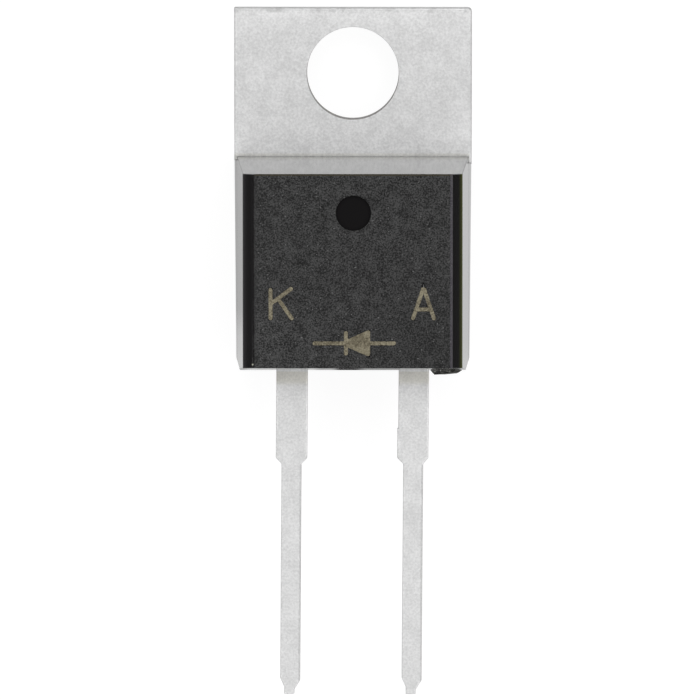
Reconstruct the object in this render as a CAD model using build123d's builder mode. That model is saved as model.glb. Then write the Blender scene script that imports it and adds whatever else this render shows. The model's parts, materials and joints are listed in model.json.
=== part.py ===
from build123d import *
from math import hypot, radians, tan
import os

os.makedirs("parts", exist_ok=True)

# A two-lead power rectifier in a moulded package with a metal mounting tab.
# It lies on its back: the flat rear face of the tab is on Z = 0 and the moulded front faces +Z.
# X runs across the two leads and +Y points out of the tab's free end. The origin is the centre
# of the mounting hole on the rear face. Lengths named hole_to_... run along -Y from there,
# apart from hole_to_tab_end, which runs along +Y. All sizes are in millimetres.

# Tab and mounting hole
tab_width = 9.95
tab_thickness = 1.27
hole_diameter = 3.84
hole_to_tab_end = 2.74
hole_to_shoulder = 3.72  # the full width ends here, at the edge of the moulding
tab_edge_roll = 0.12  # rounded front edges left by the press tool
tab_corner_radius = 0.1  # one free corner is rounder than the other

# Header: the part of the tab that is under the moulding
pad_width = 7.9  # bare copper seen on the back
header_width = 8.6  # over the two lips that lock it into the moulding
lip_height = 0.45  # height of the lips above the rear face
hole_to_header_end = 9.5
hole_to_groove = 5.0  # locking groove across the header
groove_width = 0.5
groove_depth = 0.25

# Leads
lead_pitch = 5.08
lead_thickness = 0.5
lead_rise = 2.4  # rear face of the leads above the mounting face
cathode_lead_width = 1.29
anode_lead_width = 1.24
narrow_width = 0.81
wide_length = 3.63  # from the moulding to the neck
neck_length = 0.25
narrow_length = 8.99
tip_taper_length = 0.4
nub_width = 0.385
nub_length = 0.28
lead_lean = 0.4  # degrees; both leads lean a little towards -X
stub_proud = 0.05  # what is left of the tie bar on the anode lead
stub_length = 1.26

# Bend that lifts the cathode lead from the header to the lead plane
header_to_bend = 0.45
bend_run = 1.45
bend_radius = 0.7  # on the middle of the strip

# Wire post at the inner end of the anode lead
post_width = 2.4
post_length = 1.1
hole_to_post = 10.3
lock_hole_diameter = 0.5
lock_hole_edge = 0.4  # metal between the lock hole and the outside of the moulding

# Silicon die, its solder and the two bond wires
hole_to_die = 7.3
die_size = 2.5
die_thickness = 0.25
solder_margin = 0.06
solder_thickness = 0.05
wire_diameter = 0.38
wire_spacing = 1.0
bond_length = 0.7  # flattened foot at each end of a wire
bond_squash = 0.3  # share of the wire's radius that is pressed flat
die_bond_offset = 0.35  # from the die's centre to the middle of the two feet, towards +X
loop_height = 0.55  # top of the wire's centre line above the post
loop_rise_run = 0.8
loop_fall_run = 0.55
wire_bend_radius = 0.4

# Moulding
body_thickness = 4.45
hole_to_body_top = 3.49  # where the top wall meets the tab's front face
hole_to_body_end = 12.37  # at the lead plane, its longest
rear_overhang = 0.01  # how far each side stands out past the tab on the rear face
parting_step = 0.015  # each side steps in at the parting line, level with the tab's front face
side_draft = 5.65  # degrees
top_draft = 10.4
end_draft = 6.9  # wall that the leads leave, in front of the lead plane
rear_draft = 4.0  # the same wall, behind the lead plane
bevel_width = 0.45  # smooth shallow bevel along each long side of the front face
bevel_drop = 0.07
side_taper = 0.07  # how much each side closes in towards the leads
facet_width = 0.19  # facets at the two corners beside the leads
facet_length = 0.42
front_edge_radius = 0.05

# Ejector pin mark and gate vestige
hole_to_pin_mark = 5.7
pin_mark_diameter = 1.43
pin_mark_depth = 0.12
gate_centre = 3.92
gate_width = 1.28
gate_proud = 0.19
gate_left_slope = 0.17
gate_right_slope = 0.3
gate_thickness = 0.5
gate_rise = 1.93

# Polarity marks, cut by laser in the front face
mark_depth = 0.03
line_width = 0.17
symbol_offset = 0.07  # the symbol sits this far to +X of the middle
hole_to_symbol = 11.09
symbol_length = 3.46
arrow_length = 0.92
arrow_offset = 0.2  # from the middle of the symbol's line
arrow_height = 1.17
arrow_tip_height = 0.36  # the tip is cut off where it meets the bar
cathode_bar_height = 1.0
hole_to_letters = 9.45
letter_height = 1.35
letter_width = 0.92
letter_offset = 2.94
crossbar_share = 0.33  # height of the crossbar of the A, as a share of the letter

lead_x = lead_pitch / 2
lead_front = lead_rise + lead_thickness
header_length = hole_to_header_end - hole_to_shoulder
die_rear = tab_thickness + solder_thickness
die_front = die_rear + die_thickness
lead_length = wide_length + neck_length + narrow_length + tip_taper_length + nub_length


def lead_face(x_centre, wide_width):
    # Outline of a lead outside the moulding: half width at each distance from the moulding
    neck_end = wide_length + neck_length
    taper_start = neck_end + narrow_length
    nub_start = taper_start + tip_taper_length
    stations = [
        (0, wide_width / 2),
        (wide_length, wide_width / 2),
        (neck_end, narrow_width / 2),
        (taper_start, narrow_width / 2),
        (nub_start, nub_width / 2),
        (lead_length, nub_width / 2),
    ]
    lean = tan(radians(lead_lean))
    side_a = [(x_centre - lean * d + half, -hole_to_body_end - d) for d, half in stations]
    side_b = [(x_centre - lean * d - half, -hole_to_body_end - d) for d, half in reversed(stations)]
    with BuildSketch() as outline:
        with BuildLine():
            Polyline(*side_a, *side_b, close=True)
        make_face()
    return outline.sketch


# Copper frame: tab, header, bent strip and cathode lead are one piece
with BuildPart() as heat_sink_frame:
    with BuildSketch(Plane.XY):
        with Locations((0, hole_to_tab_end)):
            Rectangle(tab_width, hole_to_tab_end + hole_to_shoulder, align=(Align.CENTER, Align.MAX))
    extrude(amount=tab_thickness)
    free_corners = heat_sink_frame.edges().filter_by(Axis.Z).group_by(Axis.Y)[-1]
    fillet(free_corners.sort_by(Axis.X)[-1], radius=tab_corner_radius)
    front_outline = heat_sink_frame.faces().sort_by(Axis.Z)[-1].edges()
    fillet(front_outline.sort_by(Axis.Y)[1:], radius=tab_edge_roll)
    with BuildSketch(Plane.XZ.offset(hole_to_shoulder)):
        Rectangle(pad_width, tab_thickness, align=(Align.CENTER, Align.MIN))
        with Locations((0, lip_height)):
            Rectangle(header_width, tab_thickness - lip_height, align=(Align.CENTER, Align.MIN))
    extrude(amount=header_length)
    with BuildSketch(Plane.YZ):
        with Locations((-hole_to_groove, tab_thickness)):
            Polygon((-groove_width / 2, 0), (0, -groove_depth), (groove_width / 2, 0), align=None)
    extrude(amount=header_width / 2, both=True, mode=Mode.SUBTRACT)
    with BuildSketch(Plane.YZ.offset(-lead_x)):
        header_middle = tab_thickness - lead_thickness / 2
        lead_middle = lead_rise + lead_thickness / 2
        first_bend = hole_to_header_end + header_to_bend
        with BuildLine() as strip_middle:
            FilletPolyline(
                (-hole_to_header_end, header_middle),
                (-first_bend, header_middle),
                (-first_bend - bend_run, lead_middle),
                (-hole_to_body_end, lead_middle),
                radius=bend_radius,
            )
        trace(strip_middle.line, line_width=lead_thickness)
    extrude(amount=cathode_lead_width / 2, both=True)
    with BuildSketch(Plane.XY.offset(lead_rise)):
        add(lead_face(-lead_x, cathode_lead_width))
    extrude(amount=lead_thickness)
    Hole(hole_diameter / 2)
heat_sink_frame.part.label = "heat_sink_frame"

# Anode lead with the wire post at its inner end
with BuildPart() as anode_lead:
    with BuildSketch(Plane.XY.offset(lead_rise)):
        add(lead_face(lead_x, anode_lead_width))
        with Locations((lead_x, -hole_to_body_end)):
            Rectangle(
                anode_lead_width,
                hole_to_body_end - hole_to_post - post_length,
                align=(Align.CENTER, Align.MIN),
            )
        with Locations((lead_x, -hole_to_post)):
            Rectangle(post_width, post_length, align=(Align.CENTER, Align.MAX))
        stub_drop = hole_to_body_end + wide_length
        stub_lean = tan(radians(lead_lean)) * (wide_length - stub_length / 2)
        with Locations((lead_x - stub_lean, -stub_drop)):
            Rectangle(
                anode_lead_width / 2 + stub_proud,
                stub_length,
                align=(Align.MAX, Align.MIN),
            )
        with Locations((lead_x, -hole_to_body_end + lock_hole_edge)):
            Circle(lock_hole_diameter / 2, align=(Align.CENTER, Align.MIN), mode=Mode.SUBTRACT)
    extrude(amount=lead_thickness)
anode_lead.part.label = "anode_lead"

with BuildPart() as die_solder:
    with BuildSketch(Plane.XY.offset(tab_thickness)):
        with Locations((0, -hole_to_die)):
            Rectangle(die_size + 2 * solder_margin, die_size + 2 * solder_margin)
    extrude(amount=solder_thickness)
die_solder.part.label = "die_solder"

with BuildPart() as silicon_die:
    with BuildSketch(Plane.XY.offset(die_rear)):
        with Locations((0, -hole_to_die)):
            Rectangle(die_size, die_size)
    extrude(amount=die_thickness)
silicon_die.part.label = "silicon_die"

# Two aluminium wires loop from the die to the post, and each foot is pressed flat
bond_wires = []
post_middle = hole_to_post + post_length / 2
foot_height = wire_diameter / 2 * (1 - bond_squash)
for number, side in enumerate((-1, 1), start=1):
    start_x = die_bond_offset + side * wire_spacing / 2
    end_x = lead_x + side * wire_spacing / 2
    reach_x = end_x - start_x
    reach_y = hole_to_die - post_middle
    reach = hypot(reach_x, reach_y)
    wire_plane = Plane(
        origin=(start_x, -hole_to_die, die_front),
        x_dir=(reach_x, reach_y, 0),
        z_dir=(reach_y, -reach_x, 0),
    )
    post_foot = lead_front - die_front + foot_height
    loop_top = lead_front - die_front + loop_height
    with BuildPart() as bond_wire:
        with BuildLine(wire_plane) as wire_path:
            FilletPolyline(
                (-bond_length / 2, foot_height),
                (bond_length / 2, foot_height),
                (bond_length / 2 + loop_rise_run, loop_top),
                (reach - bond_length / 2 - loop_fall_run, loop_top),
                (reach - bond_length / 2, post_foot),
                (reach + bond_length / 2, post_foot),
                radius=wire_bend_radius,
            )
        with BuildSketch(Plane(origin=wire_path.line @ 0, z_dir=wire_path.line % 0)):
            Circle(wire_diameter / 2)
        sweep()
        add(silicon_die.part, mode=Mode.SUBTRACT)
        add(anode_lead.part, mode=Mode.SUBTRACT)
    bond_wire.part.label = f"bond_wire_{number}"
    bond_wires.append(bond_wire.part)

# Polarity marks: a diode symbol that points at the cathode lead, and the letters K and A
with BuildPart() as polarity_mark:
    with BuildSketch(Plane.XY.offset(body_thickness)):
        with Locations((symbol_offset, -hole_to_symbol)):
            Rectangle(symbol_length, line_width)
            with Locations((arrow_offset - arrow_length / 2, 0)):
                Rectangle(line_width, cathode_bar_height, align=(Align.MAX, Align.CENTER))
                Polygon(
                    (0, -arrow_tip_height / 2),
                    (arrow_length, -arrow_height / 2),
                    (arrow_length, arrow_height / 2),
                    (0, arrow_tip_height / 2),
                    align=None,
                )
        letter_top = letter_height / 2 - hole_to_letters
        letter_foot = -letter_height / 2 - hole_to_letters
        stem_x = -letter_offset - letter_width / 2
        arm_x = -letter_offset + letter_width / 2
        peak_x = letter_offset
        crossbar_y = letter_foot + crossbar_share * letter_height
        crossbar_half = letter_width / 2 * (1 - crossbar_share)
        with BuildLine():
            Line((stem_x, letter_foot), (stem_x, letter_top))
            Line((stem_x, -hole_to_letters), (arm_x, letter_top))
            Line((stem_x + letter_width / 3, -hole_to_letters + letter_height / 6), (arm_x, letter_foot))
            Line((peak_x, letter_top), (peak_x - letter_width / 2, letter_foot))
            Line((peak_x, letter_top), (peak_x + letter_width / 2, letter_foot))
            Line((peak_x - crossbar_half, crossbar_y), (peak_x + crossbar_half, crossbar_y))
        trace(line_width=line_width)
    extrude(amount=-mark_depth)
polarity_mark.part.label = "polarity_mark"

# Moulding: three profiles, seen from the side, from the leads and from the front, cut each other
with BuildPart() as moulded_body:
    with BuildSketch(Plane.YZ):
        top_lean = tan(radians(top_draft)) * (body_thickness - tab_thickness)
        end_lean = tan(radians(end_draft)) * (body_thickness - lead_rise)
        rear_lean = tan(radians(rear_draft)) * lead_rise
        with BuildLine():
            Polyline(
                (-hole_to_shoulder, 0),
                (-hole_to_shoulder, tab_thickness),
                (-hole_to_body_top, tab_thickness),
                (-hole_to_body_top - top_lean, body_thickness),
                (-hole_to_body_end + end_lean, body_thickness),
                (-hole_to_body_end, lead_rise),
                (-hole_to_body_end + rear_lean, 0),
                close=True,
            )
        make_face()
    extrude(amount=tab_width, both=True)
    with BuildSketch(Plane.XZ):
        bevel_height = body_thickness - bevel_drop
        half_rear = tab_width / 2 + rear_overhang
        half_parting = half_rear - tan(radians(side_draft)) * tab_thickness
        half_bevel = half_rear - tan(radians(side_draft)) * bevel_height
        half_face = half_bevel - bevel_width
        with BuildLine():
            Polyline(
                (half_rear, 0),
                (half_parting + parting_step, tab_thickness),
                (half_parting, tab_thickness),
                (half_bevel, bevel_height),
                (half_face, body_thickness),
                (-half_face, body_thickness),
                (-half_bevel, bevel_height),
                (-half_parting, tab_thickness),
                (-half_parting - parting_step, tab_thickness),
                (-half_rear, 0),
                close=True,
            )
        make_face()
    extrude(amount=2 * hole_to_body_end, both=True, mode=Mode.INTERSECT)
    with BuildSketch(Plane.XY):
        half_end = half_rear - side_taper
        facet_start = hole_to_body_end - facet_length
        with BuildLine():
            Polyline(
                (half_rear, -hole_to_body_top),
                (half_end, -facet_start),
                (half_end - facet_width, -hole_to_body_end),
                (facet_width - half_end, -hole_to_body_end),
                (-half_end, -facet_start),
                (-half_rear, -hole_to_body_top),
                close=True,
            )
        make_face()
    extrude(amount=body_thickness, mode=Mode.INTERSECT)
    front_edges = moulded_body.edges().filter_by_position(Axis.Z, bevel_height, body_thickness)
    fillet(front_edges, radius=front_edge_radius)
    with BuildSketch(Plane.XY.offset(body_thickness)):
        with Locations((0, -hole_to_pin_mark)):
            Circle(pin_mark_diameter / 2)
    extrude(amount=-pin_mark_depth, mode=Mode.SUBTRACT)
    with BuildSketch(Plane.XY.offset(gate_rise)):
        gate_root = hole_to_body_end - gate_thickness
        with BuildLine():
            Polyline(
                (gate_centre - gate_width / 2, -gate_root),
                (gate_centre - gate_width / 2, -hole_to_body_end),
                (gate_centre - gate_width / 2 + gate_left_slope, -hole_to_body_end - gate_proud),
                (gate_centre + gate_width / 2 - gate_right_slope, -hole_to_body_end - gate_proud),
                (gate_centre + gate_width / 2, -hole_to_body_end),
                (gate_centre + gate_width / 2, -gate_root),
                close=True,
            )
        make_face()
    extrude(amount=gate_thickness)
    inserts = [heat_sink_frame.part, anode_lead.part, die_solder.part, silicon_die.part]
    add(inserts + bond_wires + [polarity_mark.part], mode=Mode.SUBTRACT)
moulded_body.part.label = "moulded_body"

pieces = inserts + bond_wires + [moulded_body.part, polarity_mark.part]
for piece in pieces:
    export_step(piece, f"parts/{piece.label}.step")
    print(piece.label, "volume", round(piece.volume, 4), "mm3")
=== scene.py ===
import json
from math import atan2, cos, pi, radians, sin, tan

import bmesh
import bpy
from mathutils import Matrix, Vector


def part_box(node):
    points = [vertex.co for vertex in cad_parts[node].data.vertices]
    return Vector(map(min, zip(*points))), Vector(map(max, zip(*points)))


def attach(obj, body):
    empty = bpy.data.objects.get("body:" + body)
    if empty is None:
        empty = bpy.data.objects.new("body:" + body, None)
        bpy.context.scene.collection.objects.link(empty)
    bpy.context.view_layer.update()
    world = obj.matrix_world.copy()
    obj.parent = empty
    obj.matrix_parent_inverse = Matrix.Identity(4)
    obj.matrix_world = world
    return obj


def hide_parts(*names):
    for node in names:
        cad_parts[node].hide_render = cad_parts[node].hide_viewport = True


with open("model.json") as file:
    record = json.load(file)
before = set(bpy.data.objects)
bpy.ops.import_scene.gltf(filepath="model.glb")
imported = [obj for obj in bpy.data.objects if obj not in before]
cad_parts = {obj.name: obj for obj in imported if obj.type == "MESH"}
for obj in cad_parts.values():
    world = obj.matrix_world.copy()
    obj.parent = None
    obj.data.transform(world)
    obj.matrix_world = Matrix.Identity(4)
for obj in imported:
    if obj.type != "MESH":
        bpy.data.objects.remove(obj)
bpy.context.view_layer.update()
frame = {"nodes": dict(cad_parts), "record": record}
nodes = frame["nodes"]
mm = 0.001  # pieces are modelled in millimetres and scaled once
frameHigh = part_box("heat_sink_frame")[1] / mm
anodeLow, anodeHigh = (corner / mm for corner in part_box("anode_lead"))
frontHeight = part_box("moulded_body")[1].z / mm
mounts = {mount["name"]: mount for mount in frame["record"]["mounts"]}
holeRadius = mounts["tab_hole"]["dims"]["r_mm"]
tabThickness = mounts["tab_hole"]["dims"]["length_mm"]
hiddenNodes = ("die_solder", "silicon_die", "bond_wire_1", "bond_wire_2")
print("frame loaded")


# Node trees

def feed(tree, socket, value):
    if isinstance(value, bpy.types.NodeSocket):
        tree.links.new(value, socket)
    else:
        socket.default_value = value


def addNode(tree, kind, settings=None, **inputs):
    # inputs go by their names, or as i0, i1 and so on by their places
    made = tree.nodes.new(kind)
    for key, value in (settings or {}).items():
        setattr(made, key, value)
    for key, value in inputs.items():
        byPlace = key[0] == "i" and key[1:].isdigit()
        feed(tree, made.inputs[int(key[1:]) if byPlace else key.replace("_", " ")], value)
    return made


def calc(tree, operation, first, second=0.0):
    made = addNode(tree, "ShaderNodeMath", {"operation": operation}, i0=first, i1=second)
    return made.outputs[0]


def times(tree, first, second):
    return calc(tree, "MULTIPLY", first, second)


def plus(tree, first, second):
    return calc(tree, "ADD", first, second)


def minus(tree, first, second):
    return calc(tree, "SUBTRACT", first, second)


def scaled(tree, vector, level):
    made = addNode(tree, "ShaderNodeVectorMath", {"operation": "SCALE"}, i0=vector, Scale=level)
    return made.outputs[0]


def flatPoint(tree, x, y):
    return addNode(tree, "ShaderNodeCombineXYZ", X=x, Y=y).outputs[0]


def ramp(tree, value, low, high, toLow=0.0, toHigh=1.0):
    made = addNode(tree, "ShaderNodeMapRange", {"interpolation_type": "SMOOTHSTEP"},
                   Value=value, From_Min=low, From_Max=high, To_Min=toLow, To_Max=toHigh)
    return made.outputs[0]


def blendColour(tree, factor, first, second):
    made = addNode(tree, "ShaderNodeMix", {"data_type": "RGBA"}, i0=factor, i6=first, i7=second)
    return made.outputs[2]


def noise(tree, coords, size, detail=2.0, rough=0.5):
    # size is the grain in millimetres
    made = addNode(tree, "ShaderNodeTexNoise",
                   Vector=coords, Scale=1 / (size * mm), Detail=detail, Roughness=rough)
    return made.outputs["Fac"]


def grey(level):
    return (level, level, level, 1)


def newMaterial(name):
    made = bpy.data.materials.new(name)
    made.use_nodes = True
    tree = made.node_tree
    tree.nodes.clear()
    output = tree.nodes.new("ShaderNodeOutputMaterial")
    shader = tree.nodes.new("ShaderNodeBsdfPrincipled")
    tree.links.new(shader.outputs[0], output.inputs[0])
    coords = tree.nodes.new("ShaderNodeTexCoord").outputs["Object"]
    return made, tree, shader, coords


def separate(tree, coords):
    # X, Y and Z of a point in millimetres
    return addNode(tree, "ShaderNodeSeparateXYZ", Vector=scaled(tree, coords, 1 / mm)).outputs[:]


def addBump(tree, shader, height, depth, strength):
    # depth is the height of a full step of the pattern, in millimetres
    made = addNode(tree, "ShaderNodeBump", Height=height, Distance=depth * mm, Strength=strength)
    tree.links.new(made.outputs[0], shader.inputs["Normal"])


# Sizes that both the metal and the moulding follow, in millimetres and degrees

hullSizes = {
    "toTop": 3.49,  # hole centre to the foot of the top wall
    "toEnd": 12.361,  # and to the parting line of the end wall
    "front": frontHeight,
    "overhang": -0.0025,  # of the side walls past the tab's sides, at the rear face
    "partingStep": 0.0025,  # the rear half is wider by this at each side
    "flash": (0.002, 0.005),  # thin skin of resin on the tab along the foot of the walls
    "sideDraft": 5.43,
    "topDraft": 10.3,
    "endDraft": 6.45,
    "rearDraft": 4.0,
    "bevelWidth": 0.415,
    "bevelDrop": 0.0675,
    "taper": 0.085,  # each side closes in by this much towards the end wall
    "facetWidth": 0.19,
    "facetLength": 0.42,
    "edgeRadius": 0.025,
}
hullSizes["halfRear"] = frameHigh.x + hullSizes["overhang"]
hullSizes["halfBevel"] = hullSizes["halfRear"] - tan(radians(hullSizes["sideDraft"])) * (
    hullSizes["front"] - hullSizes["bevelDrop"])
hullSizes["halfFace"] = hullSizes["halfBevel"] - hullSizes["bevelWidth"]

tabSizes = {
    "shoulder": (3.66, 3.79),  # hole centre to the end of the full width, left and right
    "headerEnd": 9.5,
    "padHalf": 3.95,
    "headerHalf": 4.3,
    "lipHeight": 0.45,
    "groove": (5.0, 0.25, 0.25),  # place, half width, depth
    "frontRoll": 0.12,
    "rearRoll": 0.03,
    "corners": (0.16, 0.02),  # radius of the right and the left free corner
    "trim": 0.015,  # off the left edge
    "slant": 0.01,  # off the free end, at its right corner
    "topRollShare": 0.85,  # the free end's edge is squarer
    "holeRollShare": 0.12,
}

leadSizes = {
    "x": 2.54,
    "shift": 0.012,  # both leads sit a little to the right
    "wide": (1.312, 1.265),  # cathode, anode
    "narrow": 0.835,
    "wideLength": 3.639,
    "neck": 0.25,
    "narrowLength": 8.975,
    "taper": 0.39,
    "nub": 0.43,
    "nubLength": 0.304,
    "skew": (0.11, -0.03),  # the nub's right flank is cut lower, and the nub is off centre
    "lean": 0.4,  # degrees
    "stub": (0.04, 1.24),  # what is left of the tie bar: how proud and how long
    "radii": {"shoulder": 0.07, "neck": 0.16, "taper": 0.06, "nub": 0.08, "tip": 0.04},
    "frontRoll": 0.06,
    "rearRoll": 0.025,
    "bend": (9.75, 11.6),  # where the cathode strip leaves the header's level and reaches its own
    "post": (1.2, 10.3, 1.1),  # half width, place of the inner end, length
    "lockHole": (11.72, 0.25),  # place, radius
}


# Tinned metal

tinLook = {
    "bright": (0.83, 0.83, 0.83, 1),
    "dull": (0.635, 0.635, 0.635, 1),
    "colourRange": (0.25, 0.75),  # levels of the pattern from dull to bright
    "patch": 0.7,  # mottling, mm
    "grain": 0.1,  # frosted crystals, mm
    "grainShare": 0.72,  # the rest is mottling
    "grainDepth": 0.006,
    "roughness": (0.52, 0.6),
    "roughRange": (0.2, 0.8),
    "fade": (-3.3, -1.2, 1.09, 0.958),  # painted light: the tab is duller beside its hole and brighter towards the moulding: from, to, and both levels
    "leadFade": (-12, -6),  # where the leads' brightness passes into the tab's, under the moulding
    "freeEnd": (1.3, 2.7, 1.08),  # and painted brighter again towards its free end
    "endRim": (0.16, 0.08, 0.84),  # painted shade on the rolled edge at the free end: start, full width, brightness
    # painted shade on the rolled right edge: start, full width, brightness
    "rightRim": (0.145, 0.055, 0.81),
    "stain": (0.94, 0.925, 0.87, 1),  # darker, warmer tint on the leads beside the moulding: partly stain, partly painted shade under the moulding's end wall
    "footStain": (0.86, 0.85, 0.805, 1),  # darker, warmer tint on the tab beside the moulding: partly stain, partly painted shade from the wall
    "footLine": (0.76, 0.76, 0.74, 1),  # painted shade in the crease right at the wall
    "footLineWidth": (0.07, 0.02),
    "stainLength": (0.38, 0.2),  # on the leads and the tab, mm
    "stainSoft": (0.3, 0.05),  # how it fades in along a lead and out at the wall
    "stainDepth": (0.3, 0.2),  # the tab's tint starts this far behind the wall's foot
    "stainSide": (0.13, 0.09),  # the tab's right edge stays clean
    "scuff": (0.5, 0.5, 0.66, 0.86),  # marks at the tab's free end: size, range of the pattern, darkest
    "scuffReach": (0.12, 0.22),  # they are full within the first and gone past the second
    "sheared": (0.95, 0.76),  # along the left and the right edge of the thin leads
    "shearedWidth": (0.05, 0.09),
    "shearedSoft": 0.1,
    "wall": (0.3, 0.29, 0.28, 1),  # torn surface inside the punched hole
    "wallShift": 0.01,  # per mm, so that the torn surface fades towards the hole's upper side
    "wallSoft": 0.02,
}


def paintedTabLight(tree, x, y):
    # painted light and shade: how bright the metal is along its length and at its rolled edges
    look = tinLook
    low, high, near, far = look["fade"]
    level = times(tree, ramp(tree, y, low, high, 1, far / near), ramp(tree, y, *look["leadFade"], 1, near))
    low, high, most = look["freeEnd"]
    level = times(tree, level, ramp(tree, y, low, high, 1, most))
    for place, edge, rim in ((y, frameHigh.y, look["endRim"]), (x, frameHigh.x, look["rightRim"])):
        start, full, shade = rim
        level = times(tree, level, ramp(tree, place, edge - start, edge - full, 1, shade))
    return level


def stainAndShadeTint(tree, x, y):
    # stains and painted shade beside the moulding, on the leads and on the tab, and painted shade in the
    # crease at the wall's foot
    look = tinLook
    end, foot = -hullSizes["toEnd"], -hullSizes["toTop"]
    onLead, onTab = look["stainLength"]
    fadeIn, fadeOut = look["stainSoft"]
    outside = ramp(tree, y, end - onLead - fadeIn, end - onLead)
    onLeads = times(tree, outside, ramp(tree, y, end - fadeOut, end, 1, 0))
    tint = blendColour(tree, onLeads, grey(1), look["stain"])
    above = ramp(tree, y, *(foot - depth for depth in look["stainDepth"]))
    above = times(tree, above, ramp(tree, x, *(frameHigh.x - width for width in look["stainSide"]), 1, 0))
    tint = blendColour(tree, times(tree, ramp(tree, y, foot + onTab, foot), above), tint, look["footStain"])
    # painted shade in the crease at the wall's foot
    start, full = (foot + width for width in look["footLineWidth"])
    return blendColour(tree, times(tree, ramp(tree, y, start, full), above), tint, look["footLine"])


def scuffLevel(tree, coords, y):
    size, low, high, darkest = tinLook["scuff"]
    near, far = (frameHigh.y - reach for reach in tinLook["scuffReach"])
    scuffs = ramp(tree, noise(tree, coords, size, 2, 0.6), low, high, 1, darkest)
    return calc(tree, "MAXIMUM", scuffs, ramp(tree, y, near, far))


def shearedLevel(tree, x, y):
    # darker lines along both edges of the thin leads, leaning as the leads do
    s = leadSizes
    along = minus(tree, -hullSizes["toEnd"], y)
    across = minus(tree, x, times(tree, calc(tree, "SIGN", x), s["x"]))
    across = plus(tree, across, times(tree, along, tan(radians(s["lean"]))))
    half, neckEnd, soft = s["narrow"] / 2 + s["shift"], s["wideLength"] + s["neck"], tinLook["shearedSoft"]
    full, start = tinLook["shearedWidth"]
    onLeft, onRight = tinLook["sheared"]
    edges = times(tree, ramp(tree, across, full - half, start - half, onLeft, 1),
                  ramp(tree, across, half - start, half - full, 1, onRight))
    return calc(tree, "MAXIMUM", edges, ramp(tree, along, neckEnd, neckEnd + soft, 1, 0))


def makeTin():
    made, tree, shader, coords = newMaterial("frostedTin")
    look = tinLook
    x, y = separate(tree, coords)[:2]
    patches = noise(tree, coords, look["patch"], 2, 0.5)
    grain = noise(tree, coords, look["grain"], 2, 0.7)
    tone = plus(tree, times(tree, patches, 1 - look["grainShare"]), times(tree, grain, look["grainShare"]))
    colour = blendColour(tree, ramp(tree, tone, *look["colourRange"]), look["dull"], look["bright"])
    colour = scaled(tree, colour, paintedTabLight(tree, x, y))
    marked = times(tree, scuffLevel(tree, coords, y), shearedLevel(tree, x, y))
    tint = scaled(tree, stainAndShadeTint(tree, x, y), marked)
    colour = addNode(tree, "ShaderNodeVectorMath", {"operation": "MULTIPLY"}, i0=colour, i1=tint).outputs[0]
    away = addNode(tree, "ShaderNodeVectorMath", {"operation": "LENGTH"}, i0=flatPoint(tree, x, y))
    away = plus(tree, away.outputs["Value"], times(tree, y, look["wallShift"]))
    inHole = ramp(tree, away, holeRadius, holeRadius + look["wallSoft"], 1, 0)
    tree.links.new(blendColour(tree, inHole, colour, look["wall"]), shader.inputs["Base Color"])
    shader.inputs["Metallic"].default_value = 1.0
    roughness = ramp(tree, tone, *look["roughRange"], *look["roughness"])
    tree.links.new(roughness, shader.inputs["Roughness"])
    addBump(tree, shader, grain, look["grainDepth"], 0.5)
    return made


# Moulding compound

compoundLook = {
    "smooth": (0.0068, 0.0063, 0.0066, 1),
    "pale": (0.05, 0.05, 0.05, 1),
    "dark": (0.0, 0.0, 0.0, 1),
    "speckle": (0.36, 0.66),  # darkest and palest level of the pattern
    "fineShare": 0.8,  # of the pattern, the rest is coarse
    "coarse": 8,  # grain of the coarse part, in fine grains
    "drift": 0.06,  # the front's lower half pales to the left, per mm
    "driftStart": (-8, -11),
    "glint": (0.14, 0.14, 0.14, 1),
    "glints": (1.3, 0.7, 0.78),  # size in fine grains, and the levels between which they show
    "rim": (0.035, 0.028, 0.014, 1),  # resin below the front's rounded top edge
    "rimWidth": 0.06,
    "rimShare": 0.8,
    "ridge": (0.1, 0.09, 0.11, 1),  # painted highlight along the right bevel's inner edge
    "ridgePlace": (0.13, 0.06),
    "ridgeShare": 0.4,
    "olive": (0.03, 0.034, 0.007, 1),  # painted sheen along the right bevel's outer edge, tinted olive
    "oliveWidth": 0.17,
    "worn": (0.019, 0.018, 0.019, 1),  # paler along the left bevel's outer edge
    "wornWidth": 0.2,
    "bevelHeight": (0.2, 0.1),  # these two are gone and full this far below the front
    "soft": 0.02,  # edge of a tint
    "leftFade": (0.05, 0.2),  # the texture fades in over the front's left edge
    "frontFade": (0.03, 0.01),  # below the front it is gone and full here
    "wallFade": (0.05, 0.03),  # how the top wall's gloss ends towards the side walls
    "spark": 0.062,  # grain of the spark texture, mm
    "sparkDepth": 0.02,
    "roughness": (0.1, 0.6),  # polished walls, textured front
    "shine": (0.5, 0.2),
    "gloss": (0.38, 1.0),  # walls, top wall
    "speck": (-4.145, -11.97, 0.032),  # a pale grain on the left bevel
    "speckColour": (0.3, 0.3, 0.25, 1),
    "speckSoft": (0.7, 1.5),  # full and gone at these shares of its radius
}


def texturedPart(tree, x, z):
    # 1 on the front, 0 on the walls and the bevels
    half, front = hullSizes["halfFace"], hullSizes["front"]
    outside, inside = compoundLook["leftFade"]
    gone, full = compoundLook["frontFade"]
    left = ramp(tree, x, -half - outside, -half + inside)
    right = ramp(tree, x, half - full, half + full, 1, 0)
    return times(tree, times(tree, left, right), ramp(tree, z, front - gone, front - full))


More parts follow.
